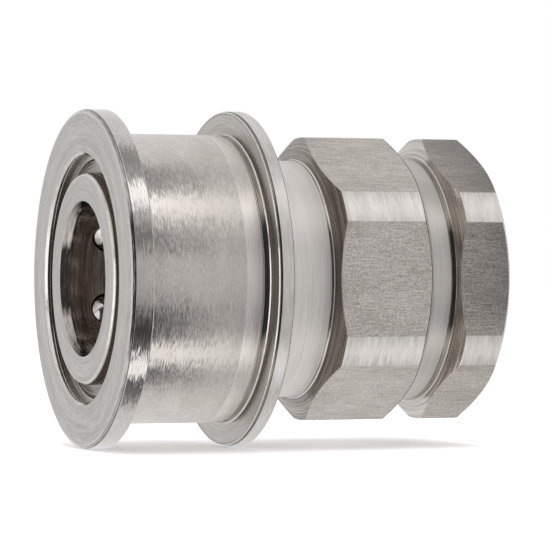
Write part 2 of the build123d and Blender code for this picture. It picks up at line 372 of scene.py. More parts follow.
# The barrel mirrors the tent with ragged edges, and gets duller towards the back.
fade = (mouth_x + 2.5, mouth_x + 12, 0.26)
barrel_cut = (0.1, 0.2), 0.5, 0.075, 0.55, 0.08, 0.05
brushed = lathed("turned_barrel_steel", "#E0DAD5", "#C9C2BC", *barrel_cut, fade=fade)
# The ground rim is nearly a mirror, with crisp dark and white bands. The rear one is satin.
rim = lathed("ground_rim_steel", "#DFDBD8", "#CCC7C3", (0.04, 0.11), 0.2, 0.09, 0.6, 0.07, 0.03)
back_rim = lathed("turned_rim_steel", "#E6E3E0", "#D2CECA", (0.36, 0.46), 0.5, 0.12, 1.4, 0.05, 0.03)
# Burnishing presses the marks flat: a pale, soft band.
polished = lathed("burnished_band_steel", "#EFE9E5", "#E3DCD7", (0.32, 0.42), 0.4, 0.1, 1.2, 0.05, 0.06)
# A boring bar leaves long rings in strong tones. The counterbores are greyer.
bored = lathed("bored_wall_steel", "#F8EDE7", "#A1968F", (0.14, 0.26), 0.2, 0.11, 2.5, 0.04, 0.08, 0.6)
walled = lathed("counterbored_steel", "#BEB6AF", "#857D76", (0.2, 0.34), 0.2, 0.12, 4, 0.03, 0.08)
# A thin dark line beside an edge is painted shade, for the shadow and dark reflection there; a broken edge
# is a thin bright one.
painted_shade_line = lathed("painted_shade_line_steel", "#6E6863", "#4C4743", (0.2, 0.3), 0.0, 0.1, 0.8, 0.03, 0.05)
edged = lathed("broken_edge_steel", "#E2DFDC", "#C4C0BC", (0.06, 0.14), 0.0, 0.1, 0.7, 0.05, 0.03)
# The necks have hardly a line: light and matt in front, a shade darker on the adapter.
neck_cut = 0.2, 0.2, 6, 0.02, 0.03
necked = lathed("turned_neck_steel", "#F2EEEA", "#E2DDD8", (0.5, 0.58), *neck_cut)
adapter_necked = lathed("adapter_neck_steel", "#D2CECA", "#C8C3BE", (0.38, 0.46), *neck_cut)
# The hexagons' turned corners are pale, with short, steep marks; the adapter's are a little darker, as
# painted shade.
land_cut = (0.3, 0.42), 0.4, 0.11, 1.2, 0.05, 0.1, 0.5
land = lathed("turned_corner_steel", "#E6E2DE", "#C9C4BF", *land_cut)
adapter_land_painted_shade = lathed("adapter_corner_steel_painted_shade", "#DFDAD6", "#C4BFBA", *land_cut)
# The chamfers have wide, steep rings that run far round, brown and grey, paler on the adapter.
cone_cut = (0.14, 0.22), 0.1, 0.22, 12, 0.03
cone = lathed("turned_chamfer_steel", "#BCB4AD", "#6E655F", *cone_cut, 0.16)
adapter_cone = lathed("adapter_chamfer_steel", "#E4DED9", "#A9A19B", *cone_cut, 0.1)
# The roots and the lead-ins are smooth, and darker, because little light gets in.
hollow = lathed("root_groove_steel", "#989289", "#756F68", (0.06, 0.14), 0.0, 0.12, 3, 0.03, 0.04)
led_in = lathed("lead_in_steel", "#BDB8B4", "#8A847F", (0.08, 0.2), 0.0, 0.12, 1.2, 0.05, 0.09)
shaded = lathed("root_face_steel", "#CFCAC5", "#ADA7A2", (0.24, 0.34), 0.0, 0.12, 4, 0.03, 0.04)
print("turned finishes, such as", brushed.name, rim.name, cone.name)

# %% [markdown]
# The flats of the hexagons are the bar's own drawn and milled faces, the dullest of the coupling:
# a fine grain with short lines along the axis. The adapter's flats are the darker ones, and get
# darker towards the port and upwards. That is painted shade: on the real part it comes from what
# stood round it, which the plain tent here has not.


# %% Milled stainless steel
def milled_steel(name, light, dark, shine, grain, line, shade=1.0, slope=0.06):
    """Grain across, lines along X. grain is the width of a mark in mm, line its length and slope
    its steepness. shade is painted shade: the tone left at the port's end and above, as a share
    of the tone."""
    material, tree = new_material(name)
    place = add(tree, "TexCoord").outputs["Object"]

    def marks(wide, long, seed, detail):
        """Noise with one mark per wide across the flat, and one per long along the axis."""
        return noise_at(tree, place, (long * MM, wide * MM, wide * MM), seed, detail)

    lines = marks(0.6 * grain, line, 5.7, 1.0)
    speckle = marks(grain, 1.5 * grain, 23.1, 0.0)
    cloud = marks(2.2, 5.0, 61.0, 3.0)
    grains = add(tree, "Mix", {0: 0.5, 2: lines, 3: speckle}, data_type="FLOAT")
    mixed = add(tree, "Mix", {0: 0.15, 2: grains, 3: cloud}, data_type="FLOAT")
    surface = shown_by(tree, (mixed, speckle, grains), light, dark, shine, slope * grain)
    if shade < 1:
        split = add(tree, "SeparateXYZ", {0: place}).outputs
        shares = []
        # how much of the painted shade there is: along X up to the port, and along Z up to mid-height
        for axis, low, high, least in (("X", -6.5, 0.5, 0.45), ("Z", -9, -2, 0.1)):
            run = {"Value": split[axis], "From Min": low * MM, "From Max": high * MM, "To Min": least}
            shares.append(add(tree, "MapRange", run))
        share = add(tree, "Math", dict(enumerate(shares)), operation="MULTIPLY")
        dimmed = {0: share, 6: surface["Base Color"], 7: (shade, shade, shade, 1)}
        dim = add(tree, "Mix", dimmed, data_type="RGBA", blend_type="MULTIPLY")
        surface["Base Color"] = dim.outputs[2]
    steel = add(tree, "BsdfPrincipled", {**surface, "Metallic": 1.0})
    add(tree, "OutputMaterial", {0: steel})
    return material


milled = milled_steel("milled_flat_steel", "#E9E3DE", "#A39B95", (0.4, 0.5), 0.08, 1.6)
# The adapter's flats: darker tones, and painted shade towards the port and upwards.
drawn = milled_steel("drawn_flat_steel_painted_shade", "#E5DED8", "#958D86", (0.4, 0.5), 0.08, 2.0, shade=0.42)
print("milled finishes:", milled.name, drawn.name)

# %% [markdown]
# The other materials are small and mostly hidden: hardened steel for the balls, which are lapped
# to a mirror and then scuffed by the plug; drawn wire for the springs, satin from the die; stamped
# spring steel, duller and spotted; fluorocarbon rubber, a matt black with bloom; and PTFE, a waxy
# white that light enters a little way.


# %% Balls, wire, rubber and PTFE
def noisy(name, light, dark, shine, size, slope, **shader):
    """A mottled material: tone, roughness and relief all follow one noise with blotches of the
    given size in mm. shader holds the other settings of the surface."""
    material, tree = new_material(name)
    place = add(tree, "TexCoord").outputs["Object"]
    noise = add(tree, "TexNoise", {"Vector": place, "Scale": 1 / (size * MM), "Detail": 4.0})
    surface = shown_by(tree, [noise] * 3, light, dark, shine, slope * size)
    add(tree, "OutputMaterial", {0: add(tree, "BsdfPrincipled", {**surface, **shader})})
    return material


ball_steel = noisy("lapped_ball_steel", "#C4C0BC", "#ACA7A3", (0.02, 0.07), 0.7, 0.01, Metallic=1.0)
wire_steel = noisy("drawn_wire_steel", "#B9B7B4", "#95928E", (0.25, 0.42), 0.3, 0.05, Metallic=1.0)
ring_steel = noisy("stamped_ring_steel", "#B2ADA8", "#8A8580", (0.28, 0.45), 0.35, 0.08, Metallic=1.0)
seal_rubber = noisy("fluorocarbon_rubber", "#2B2A2A", "#171717", (0.45, 0.7), 0.25, 0.06)
waxy = {"Subsurface Weight": 0.2, "Subsurface Scale": 0.001}
ptfe = noisy("turned_ptfe", "#ECEBE6", "#DFDDD6", (0.3, 0.5), 0.4, 0.03, **waxy)
print("small finishes:", [m.name for m in (ball_steel, wire_steel, ring_steel, seal_rubber, ptfe)])

# %% [markdown]
# The sleeve is the piece that the hand pulls. Two thin flanges give the fingers a hold, and
# between them lies a plain barrel. Its finishes differ from face to face: the flange's front is
# faced, its rim ground almost bright, the barrel left as turned, and the last stretch before the
# rear flange burnished. Beside each rim run broken edges, which show as bright lines, and lines of
# painted shade, which stand for the shadow at the edge; all are less than half a millimetre wide.
# Inside are the ledge, the ball cone and the room for the spring.

# %% Sleeve
front_flange_width = 2.2
rear_flange_width = 1.5
edge_break = 0.3
barrel_radius = 13.86
burnished_width = 1.55
burnished_rise = 0.03
root_groove_width = 0.65
root_collar_width = 0.15
root_collar_rise = 0.1
mouth_radius = 11.9
ledge_radius = 11.08
land_radius = 10.25
sleeve_bore_radius = 11.52
ledge_x = mouth_x + 2.05
land_front_x = mouth_x + 5.36
land_back_x = land_front_x + 1.2
flange_back_x = mouth_x + front_flange_width
sleeve_face_x = sleeve_end_x - rear_flange_width
collar_x = sleeve_face_x - root_collar_width
barrel_back_x = collar_x - root_groove_width
burnished_x = barrel_back_x - burnished_width
ring_front_x, ring_back_x, ring_radius = ends_of("retaining_ring")
ring_recess_radius = mouth_radius - 0.5


def from_corner(x, r, *rows):
    """Rows of an outline that are given from one of its corners, (x, r)."""
    return [(x + along, r + out, cut, side) for along, out, cut, side in rows]


sleeve_outline = [
    # inside: the land over the balls, the ball cone, the ledge and the ring's recess
    (land_back_x, sleeve_bore_radius, 0.06, bored),
    (land_back_x, land_radius, 0.06, bored),
    (land_front_x, land_radius, 0.06, bored),
    (ledge_x, ledge_radius, 0.06, faced),
    (ledge_x, ring_recess_radius, 0.02, walled),
    (ring_front_x - 0.04, ring_recess_radius, 0.03, faced),
    (ring_front_x - 0.22, mouth_radius, 0.03, walled),
    # the mouth's tool lines and its bevel
    *from_corner(
        mouth_x, mouth_radius,
        (0.56, 0, 0.015, edged), (0.51, 0.04, 0.015, walled), (0.46, 0.04, 0.015, edged),
        (0.42, -0.08, 0.015, walled), (0.25, -0.08, 0.02, edged), (0, 0.17, 0.02, faced),
    ),
    # the front flange: broken edge, chamfer, a line of painted shade, rim and back edge
    *from_corner(
        mouth_x, flange_radius,
        (0, -0.4, 0.02, edged), (0.06, -0.18, 0.02, led_in), (0.27, -0.05, 0.01, painted_shade_line),
        (0.36, 0, 0.02, rim), (front_flange_width - 0.12, 0, 0.02, edged),
        (front_flange_width, -0.12, 0.03, faced),
    ),
    (flange_back_x, barrel_radius, 0.03, brushed),
    (burnished_x, barrel_radius, 0.02, brushed),
    (burnished_x, barrel_radius - burnished_rise, 0.02, polished),
    # the root of the rear flange: a line of painted shade, a groove and a collar
    *from_corner(
        barrel_back_x, barrel_radius,
        (0.08, -burnished_rise, 0.01, painted_shade_line), (0.13, -0.08, 0.01, polished), (0.25, -0.08, 0.02, hollow),
    ),
    *from_corner(
        collar_x, barrel_radius,
        (-0.38, -0.24, 0.02, hollow), (0.05, 0, 0.01, edged),
        (root_collar_width, root_collar_rise, 0.01, shaded),
    ),
    # the rear flange: two lines of painted shade at its edge, rim, a third such line and back edge
    *from_corner(
        sleeve_face_x, flange_radius,
        (0, -0.26, 0.01, painted_shade_line), (0, -0.17, 0.02, edged), (0.11, -0.06, 0.02, hollow),
        (0.17, -0.09, 0.01, hollow), (0.26, -0.05, 0.01, painted_shade_line), (0.35, 0, 0.01, back_rim),
        (rear_flange_width - 0.06, 0, 0.005, painted_shade_line), (rear_flange_width, -0.03, 0.005, faced),
    ),
    (sleeve_end_x, sleeve_bore_radius + edge_break, 0.06, bored),
    (sleeve_end_x - edge_break, sleeve_bore_radius, 0.06, bored),
]
turn_piece("pull_sleeve", sleeve_outline, "pull_sleeve", "sleeve_steel", "sleeve")

# %% [markdown]
# A hexagon with turned corners has the smaller of two radii at each angle: the turned bar's, and
# the flat's, which is half the width across flats over the cosine of the angle from its middle.
# The corner chamfers are cones, so where a cone meets a flat the edge swings out in an arc. Each
# profile has its corners exactly on that arc, which keeps the edges crisp. A broken edge in front
# and a narrow strip at the back follow it; on the body that strip is a line of painted shade.

# %% Angles and hexagon
BALL_COUNT = 6
FLAT_PITCH = 60
first_ball_angle = 25
sector_columns = 40
sector = 360 / BALL_COUNT
half_flat = across_flats / 2
hex_edge_break = 0.05
hex_line_width = 0.07
hex_rim_radius = 12.0
chamfer_slope = tan(radians(30))
edge_angle = np.degrees(np.arccos(half_flat / hex_corner_radius))
sector_start = first_ball_angle - sector / 2
by_the_edges = [
    (edge + beside - sector_start) % sector
    for edge in (edge_angle, -edge_angle)
    for beside in (-0.3, 0, 0.3)
]
sector_steps = np.concatenate([np.arange(sector_columns) * sector / sector_columns, by_the_edges])
sector_steps = np.unique(np.round(sector_steps, 6))
hex_angles = (sector_start + np.arange(BALL_COUNT)[:, None] * sector + sector_steps).ravel()
half_step = (np.roll(hex_angles, -1) - hex_angles) % 360 / 2


def from_flat(angle):
    """How far an angle is from the middle of its flat, in degrees."""
    return (angle + FLAT_PITCH / 2) % FLAT_PITCH - FLAT_PITCH / 2


corner_radius = np.minimum(hex_corner_radius, half_flat / np.cos(np.radians(from_flat(hex_angles))))
on_flat = np.abs(from_flat(hex_angles + half_step)) < edge_angle
print(f"{len(hex_angles)} columns; a flat spans {2 * edge_angle:.0f} degrees")


def corner_path(*points):
    """Corners for every angle: each coordinate is one number, or one for each angle."""
    columns = [np.stack(np.broadcast_arrays(x, r, hex_angles)[:2], axis=-1) for x, r in points]
    return np.stack(columns, axis=1)


def hex_bar(front_x, root_radius, back_x):
    """The hexagon's corners: the front cone's end, a broken edge, the land, a narrow strip at the back
    edge, which the body paints as a line of shade, and the back cone's end. Each cone climbs 1 mm
    along the axis for tan 60 mm of radius."""
    edge_x = front_x + (corner_radius - hex_edge_break - root_radius) * chamfer_slope
    last_x = back_x - (corner_radius - hex_rim_radius) * chamfer_slope
    return [
        (edge_x, corner_radius - hex_edge_break),
        (edge_x + hex_edge_break, corner_radius),
        (last_x - hex_line_width, corner_radius),
        (last_x, corner_radius),
        (back_x, hex_rim_radius),
    ]


def hex_finish(sides, flat_sides, flat_finish):
    """The finish of each face: the sides' own, with flat_finish on the flats of some sides. The
    path is open, so its first corner is one point."""
    counts = [1] + [POINTS_PER_CORNER] * (len(sides) - 1)
    finish = np.broadcast_to(np.repeat(sides, counts), (len(hex_angles), sum(counts))).copy()
    for side in flat_sides:
        first = sum(counts[:side])
        finish[np.ix_(on_flat, range(first, first + counts[side]))] = flat_finish
    return finish


# %% [markdown]
# The body carries everything. Its nose has six radial pockets for the balls: each is drilled
# from outside and ends in a round seat, so that the ball shows through into the bore and cannot
# fall out. A pocket is one grid: round the hole in one direction and, in the other, from the
# bore's wall over the hole's edge, up the seat and the drilled wall, and out over the nose.

# %% Ball pockets
bore_radius = 7.15
nose_radius = 10.1
pocket_gap = 0.14
patch_half_length = 2.5
side_steps = 10
seat_rows = 6
wall_shares = np.array([0, 0.4, 0.7, 0.88, 0.96])
ball_low, ball_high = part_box("locking_ball_1")
ball_centre = (ball_low + ball_high) / 2 / MM
ball_radius = (ball_high - ball_low).x / 2 / MM
ball_x = ball_centre.x
ball_centre_radius = Vector((0, ball_centre.y, ball_centre.z)).length
pocket_radius = ball_radius + pocket_gap
patch_front_x = ball_x - patch_half_length
patch_back_x = ball_x + patch_half_length


def pocket_grid(middle):
    """One pocket's grid, round a ball whose angle is middle. Its rim follows the sector's
    rectangle, and each rim point is drawn straight towards the hole's edge. The seat's sphere
    meets the bore where s, the sine of the latitude, solves a quadratic."""
    angles = sector_start + (middle - first_ball_angle) + np.append(sector_steps, sector)
    steps = np.linspace(0, 1, side_steps + 1)[1:-1]
    x_up = patch_front_x + (patch_back_x - patch_front_x) * steps
    rim_x = np.concatenate(
        [np.full(len(angles), patch_front_x), x_up, np.full(len(angles), patch_back_x), x_up[::-1]]
    )
    rim_angle = np.concatenate(
        [angles, np.full(len(x_up), angles[-1]), angles[::-1], np.full(len(x_up), angles[0])]
    )
    towards = np.arctan2(np.radians(rim_angle - middle) * bore_radius, rim_x - ball_x)
    side = np.sin(towards)
    a = pocket_radius**2 * (1 - side**2)
    b = -2 * ball_centre_radius * pocket_radius
    c = ball_centre_radius**2 + pocket_radius**2 * side**2 - bore_radius**2
    root = np.sqrt(np.maximum(b * b - 4 * a * c, 0))
    s = np.where(a < 1e-9, -c / b, (-b - root) / (2 * np.maximum(a, 1e-9)))
    rows = []
    for share in np.linspace(0, 1, seat_rows):
        level = s * (1 - share)
        width = pocket_radius * np.sqrt(1 - level**2)
        height = ball_centre_radius - pocket_radius * level
        rows.append((ball_x + width * np.cos(towards), width * side, height))
    outer_height = np.sqrt(nose_radius**2 - (pocket_radius * side) ** 2)
    rows.append((ball_x + pocket_radius * np.cos(towards), pocket_radius * side, outer_height))

    def wall(radius, edge, shares):
        """Rows between the rim and the hole's edge on a cylinder: x and angle shared out evenly."""
        edge_x, edge_side, edge_height = edge
        edge_turn = middle + np.degrees(np.arctan2(edge_side, edge_height))
        made = []
        for share in shares:
            x = rim_x + (edge_x - rim_x) * share
            angle = np.radians(rim_angle + (edge_turn - rim_angle) * share)
            made.append(np.stack([x, -radius * np.cos(angle), radius * np.sin(angle)], axis=-1))
        return made

    t = radians(middle)
    along_x, out, round_way = np.array([[1, 0, 0], [0, -cos(t), sin(t)], [0, sin(t), cos(t)]])
    pocket = [np.outer(x, along_x) + np.outer(w, round_way) + np.outer(h, out) for x, w, h in rows]
    inside = wall(bore_radius, rows[0], wall_shares)
    outside = wall(nose_radius, rows[-1], wall_shares[::-1])
    return np.stack(inside + pocket + outside, axis=1)


pockets = [pocket_grid(first_ball_angle + n * sector) for n in range(BALL_COUNT)]
print(f"{BALL_COUNT} pockets of {pockets[0].shape[0]} by {pockets[0].shape[1]} points")

# %% [markdown]
# The rest of the body is two turned strips, one in front of the pockets and one behind them.
# Along the outside run the nose, the neck and the first hexagon; inside are the groove for the
# seals, the stop for the plug, the valve's conical seat and the thread for the adapter, a plain
# wall here because the adapter hides it. The marks follow the place instead of the length along
# the profile, so that they don't wave where the hexagon's outline does.

# %% Body
corner_cut = 0.05
fit_gap = 0.04
body_hex_x = sleeve_end_x + 5.3
neck_radius = 11.47
neck_x = sleeve_end_x - 1.5
lead_in_radius = 7.42
lead_in_length = 0.85
nose_edge = 0.22
ring_bottom_radius = 9.5
seal_groove_x = ends_of("backup_ring_front")[0] - fit_gap
seal_groove_end_x = ends_of("backup_ring_rear")[1] + fit_gap
seal_bottom_radius = ends_of("plug_seal")[2] + fit_gap
bore_end_x = nose_x + 14.5
throat_radius = 5.6
seat_x = bore_end_x + 1.6
chamber_radius = 8.4
guide_x = ends_of("valve_guide")[0] - fit_gap
spigot_radius = 9.55
recess_x = ends_of("adapter_seal")[0] - fit_gap
recess_radius = ends_of("adapter_seal")[2] + fit_gap
body_finishes = [faced, bored, necked, cone, land, milled, edged, led_in, walled, painted_shade_line, hollow]
FACED, BORED, NECKED, CONE, LAND, MILLED, EDGED, LED_IN, WALLED, PAINTED_SHADE_LINE, HOLLOW = range(len(body_finishes))

front_corners = corner_path(
    # the bore's lead-in, the nose's face and edge, and the retaining ring's groove
    (patch_front_x, bore_radius), (nose_x + lead_in_length, bore_radius), (nose_x, lead_in_radius),
    (nose_x, nose_radius - nose_edge), (nose_x + nose_edge, nose_radius),
    (ring_front_x - fit_gap, nose_radius), (ring_front_x - fit_gap, ring_bottom_radius),
    (ring_back_x + fit_gap, ring_bottom_radius), (ring_back_x + fit_gap, nose_radius),
    (patch_front_x, nose_radius),
)
front_sides = [BORED, LED_IN, FACED, EDGED] + [WALLED] * 5
back_corners = corner_path(
    # the neck, which rises into the hexagon in a small hollow, and the hexagon
    (patch_back_x, nose_radius), (neck_x, nose_radius), (neck_x, neck_radius),
    (body_hex_x + 0.1, neck_radius), (body_hex_x + 0.22, neck_radius + 0.03),
    (body_hex_x + 0.4, neck_radius + 0.09), (body_hex_x + 0.5, neck_radius + 0.2),
    *hex_bar(body_hex_x, neck_radius, parting_x),
    # the adapter seal's counterbore, the spigot's, the valve's chamber, its seat and the stop
    (parting_x, recess_radius), (recess_x, recess_radius), (recess_x, spigot_radius + fit_gap),
    (guide_x, spigot_radius + fit_gap), (guide_x, chamber_radius),
    (seat_x + chamber_radius - throat_radius, chamber_radius), (seat_x, throat_radius),
    (bore_end_x, throat_radius), (bore_end_x, bore_radius),
    # the groove of the plug's seal
    (seal_groove_end_x, bore_radius), (seal_groove_end_x, seal_bottom_radius),
    (seal_groove_x, seal_bottom_radius), (seal_groove_x, bore_radius), (patch_back_x, bore_radius),
)
neck_sides = [WALLED, BORED, NECKED, NECKED, WALLED, EDGED, CONE]
# The dark strip at the hexagon's back edge is painted shade, for the shadow where it meets the adapter.
back_sides = neck_sides + [EDGED, LAND, PAINTED_SHADE_LINE, CONE] + [BORED] * 14
front_path = softened(front_corners, corner_cut, closed=False)
back_path = softened(back_corners, corner_cut, closed=False)
inner_faces = len(wall_shares) + seat_rows
pocket_finish = np.repeat([BORED, WALLED], [inner_faces, len(wall_shares)])
body_grids = [
    grid_of(front_path, hex_angles, False, hex_finish(front_sides, (), MILLED)),
    grid_of(back_path, hex_angles, False, hex_finish(back_sides, (7, 8), MILLED)),
    *[(grid, from_place(grid), False, pocket_finish) for grid in pockets],
]
make_piece("coupler_body", body_grids, body_finishes, "coupler", "body_steel", "body")

# %% [markdown]
# The adapter screws into the body and closes the valve chamber. Its neck ends in a shallow cone
# that faces the tent's dark end, so it shows as a dark line. Its port has a parallel pipe thread
# of 19 turns to the inch, cut with the rounded 55 degree form. The ridge is a wave of the place
# along the axis plus the turn about it, so it climbs one pitch in a turn, right-handed.

# %% Adapter
adapter_neck_radius = 11.8
adapter_hex_x = port_x - 5.9
through_radius = 5.4
thread_radius = 6.58
thread_pitch = 25.4 / 19
thread_depth = 0.856
thread_lead_in = 0.4
thread_length = 11.0
thread_end_cone = 1.0
thread_columns = 110
thread_start_x = port_x - thread_length
thread_x = np.linspace(port_x - 0.15, thread_start_x, thread_columns)
phase = thread_x[None, :] / thread_pitch + hex_angles[:, None] / 360
run_out = np.clip((thread_x - thread_start_x) / thread_pitch, 0, 1)
ridge = thread_radius - thread_depth * (0.5 - 0.5 * np.cos(2 * pi * phase)) * run_out
mouth_cone = thread_radius + thread_lead_in + (thread_x - port_x)
thread_wall = np.stack(np.broadcast_arrays(thread_x, np.maximum(ridge, mouth_cone)), axis=-1)
adapter_corners = corner_path(
    # inside, then the spigot in the body
    (thread_start_x - 0.1, thread_radius - 0.1),
    (thread_start_x - 0.1 - thread_end_cone, through_radius), (spigot_x, through_radius),
    (spigot_x, spigot_radius - edge_break), (spigot_x + edge_break, spigot_radius),
    # the neck, its shallow cone of 0.4 mm, the hexagon and the port's face
    (parting_x, spigot_radius), (parting_x, adapter_neck_radius),
    (adapter_hex_x - 0.02, adapter_neck_radius),
    (adapter_hex_x + 0.38, adapter_neck_radius + 0.2),
    *hex_bar(adapter_hex_x, adapter_neck_radius, port_x),
    (port_x, thread_radius + thread_lead_in),
)
adapter_sides = [BORED] * 6 + [NECKED, HOLLOW, CONE, EDGED, LAND, LAND, CONE, FACED]
adapter_path = softened(adapter_corners, corner_cut, closed=False)
adapter_path = np.concatenate([adapter_path, thread_wall], axis=1)
shell_finish = hex_finish(adapter_sides, (9, 10, 11), MILLED)
thread_finish = np.full((len(hex_angles), adapter_path.shape[1] - shell_finish.shape[1]), BORED)
adapter_finish = np.concatenate([shell_finish, thread_finish], axis=1)
adapter_grid = grid_of(adapter_path, hex_angles, True, adapter_finish)
# The adapter's corners and flats are darker than the body's, and that is painted shade.
own_finishes = {necked: adapter_necked, cone: adapter_cone, land: adapter_land_painted_shade, milled: drawn}
adapter_finishes = [own_finishes.get(finish, finish) for finish in body_finishes]
make_piece("pipe_adapter", [adapter_grid], adapter_finishes, "coupler", "body_steel", "adapter")

# %% [markdown]
# The balls are plain spheres, worked out from latitude and longitude, with their poles turned
# along the axis where the pocket hides them.


# %% Balls
def sphere_grid(centre, radius, columns=48, rows=33):
    """Longitude and latitude: the point is centre + radius (cos v, sin v cos u, sin v sin u)."""
    u = np.arange(columns)[:, None] * 2 * pi / columns
    v = np.linspace(0, pi, rows)[None, :]
    x, y, z = np.broadcast_arrays(np.cos(v), np.sin(v) * np.cos(u), np.sin(v) * np.sin(u))
    return np.array(centre) + radius * np.stack([x, y, z], axis=-1)


for number in range(1, BALL_COUNT + 1):
    low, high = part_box(f"locking_ball_{number}")
    grid = (sphere_grid((low + high) / 2 / MM, ball_radius), 0.0, False, 0)
    name = f"ball_{number}"
    make_piece(name, [grid], [ball_steel], name, "ball_steel", f"locking_ball_{number}")

# %% [markdown]
# The retaining ring is a flat split ring of spring steel. It snaps into the groove of the nose,
# and the sleeve's ledge comes to rest against it. Its section is carried round an arc that stops
# short of a full turn, and its two ends are closed.

# %% Retaining ring
ring_gap = 1.6
ring_cut = 0.08
ring_columns = 240
half_gap = np.degrees(ring_gap / 2 / ring_radius)
ring_angles = np.linspace(180 + half_gap, 540 - half_gap, ring_columns)
ring_rows = ring_outline("retaining_ring", ring_bottom_radius + fit_gap, ring_cut, cone)
ring_path = softened([row[:2] for row in ring_rows], ring_cut)
ring_points = turned(ring_path, ring_angles)
caps = ring_points.mean(axis=1, keepdims=True).repeat(ring_points.shape[1], axis=1)
ring_points = np.concatenate([caps[:1], ring_points, caps[-1:]])
ring_grid = (ring_points, length_along(ring_path), True, 0)
make_piece("snap_ring", [ring_grid], [cone], "coupler", "ring_steel", "retaining_ring")

# %% [markdown]
# Three seals keep the line tight. Each is a moulded ring of round section. The two turned rings
# beside the plug's seal stop the rubber from being drawn into the gap.


# %% Seals and backup rings
def o_ring(name, node, body):
    """A ring of round section: its profile is a circle as wide as the node, at its middle radius."""
    low_x, high_x, outer = ends_of(node)
    wire = (high_x - low_x) / 2
    t = np.arange(24) * 2 * pi / 24
    path = np.stack([(low_x + high_x) / 2 + wire * np.cos(t), outer - wire - wire * np.sin(t)], axis=-1)
    grid = grid_of(path, even_angles(144))
    return make_piece(name, [grid], [seal_rubber], body, "seal_rubber", node)


o_ring("plug_o_ring", "plug_seal", "coupler")
o_ring("adapter_o_ring", "adapter_seal", "coupler")
o_ring("poppet_o_ring", "poppet_seal", "valve")
for node in ("backup_ring_front", "backup_ring_rear"):
    outline = ring_outline(node, bore_radius + fit_gap, 0.08, ptfe)
    turn_piece(f"{node}_ptfe", outline, "coupler", "backup_plastic", node, columns=144)

# %% [markdown]
# A compression spring is wire wound into a helix whose ends are closed: the last half turn at
# each end lies flat, so that the spring stands square. The climb along the axis is therefore
# slow at the ends and even between them. In use the spring shortens as the sleeve or the poppet
# moves; here it is wound to the length of its node.

# %% Springs
STEPS_PER_COIL = 56
WIRE_SIDES = 14
CLOSED_TURN = 0.5
CLOSED_CLIMB = 0.18


def spring_piece(name, node, body, wire, coils):
    """Wire along a helix: at turn n the centre is at x(n), radius R, angle 360 n. x(n) climbs by
    (1 - cos) over the first and last half turns, and evenly between. The section is a circle
    in the plane of the axis and the radius, shrunk to a point at both ends."""
    low_x, high_x, outer = ends_of(node)
    n = np.linspace(0, coils, int(coils * STEPS_PER_COIL))
    climb = np.clip(n, CLOSED_TURN, coils - CLOSED_TURN) - CLOSED_TURN
    for turns in (n, n - coils + CLOSED_TURN):
        climb = climb + CLOSED_CLIMB * (1 - np.cos(pi * np.clip(turns / CLOSED_TURN, 0, 1)))
    x = low_x + wire + (high_x - low_x - 2 * wire) * climb / climb[-1]
    t = np.arange(WIRE_SIDES)[:, None] * 2 * pi / WIRE_SIDES
    section = np.full(len(n), float(wire))
    section[[0, -1]] = 0
    px = x + section * np.cos(t)
    pr = outer - wire + section * np.sin(t)
    angle = 2 * pi * n
    grid = np.stack([px, pr * np.cos(angle), pr * np.sin(angle)], axis=-1)
    piece = make_piece(name, [(grid, 0.0, False, 0)], [wire_steel], body, "spring_steel", node)
    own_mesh(piece)
    return piece


spring_piece("sleeve_spring_wire", "sleeve_spring", "spring_seat", 0.4, 3.4)
spring_piece("valve_spring_wire", "valve_spring", "coupler", 0.3, 4.4)

# %% [markdown]
# The washer between the spring and the body's shoulder lets the sleeve turn freely. Behind the
# plug's stop sits the poppet: a turned cone with its seal let into it, a short nose that the
# plug pushes, and a stem that slides in the guide. The seal's groove is an arc cut into the cone:
# its ends are where a circle round the seal's section meets the cone's 45 degree line. The guide
# keeps its CAD surface.

# %% Washer, poppet and guide
washer_outline = ring_outline("spring_washer", nose_radius + 0.1, 0.06, ring_steel)
turn_piece("spring_washer_plate", washer_outline, "spring_seat", "ring_steel", "spring_washer")

poppet_tip_x, stem_end_x, poppet_radius = ends_of("poppet")
poppet_front_radius = 5.3
poppet_nose_radius = 2.0
poppet_nose_length = 1.4
poppet_rim_length = 1.0
stem_radius = 1.6
poppet_front_x = poppet_tip_x + poppet_nose_length
poppet_cone_back_x = poppet_front_x + poppet_radius - poppet_front_radius
seal_low_x, seal_high_x, seal_outer = ends_of("poppet_seal")
seal_wire = (seal_high_x - seal_low_x) / 2
seal_x, seal_radius = (seal_low_x + seal_high_x) / 2, seal_outer - seal_wire
groove_radius = seal_wire + fit_gap
offset = seal_radius - poppet_front_radius - (seal_x - poppet_front_x)
reach = np.sqrt((groove_radius**2 - offset**2 / 2) / 2)
cone_middle = np.array([seal_x + offset / 2, seal_radius - offset / 2])
start, stop = cone_middle - reach, cone_middle + reach
first, last = (np.arctan2(r - seal_radius, x - seal_x) for x, r in (start, stop))
groove_angles = np.linspace(first, last if last > first else last + 2 * pi, 15)[1:-1]
groove = [(seal_x + groove_radius * cos(t), seal_radius + groove_radius * sin(t)) for t in groove_angles]
poppet_corners = [
    (poppet_tip_x, 0.0), (poppet_tip_x, poppet_nose_radius - edge_break),
    (poppet_tip_x + edge_break, poppet_nose_radius), (poppet_front_x, poppet_nose_radius),
    (poppet_front_x, poppet_front_radius),
    tuple(start),
    *groove,
    tuple(stop),
    (poppet_cone_back_x, poppet_radius), (poppet_cone_back_x + poppet_rim_length, poppet_radius),
    (poppet_cone_back_x + poppet_rim_length, stem_radius), (stem_end_x - edge_break, stem_radius),
    (stem_end_x, stem_radius - edge_break), (stem_end_x, 0.0),
]
poppet_path = softened(poppet_corners, 0.04, closed=False)
poppet_grid = grid_of(poppet_path, even_angles(144), closed=False)
make_piece("valve_poppet", [poppet_grid], [necked], "valve", "body_steel", "poppet")

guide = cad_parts["valve_guide"]
guide.data.materials.clear()
guide.data.materials.append(ring_steel)

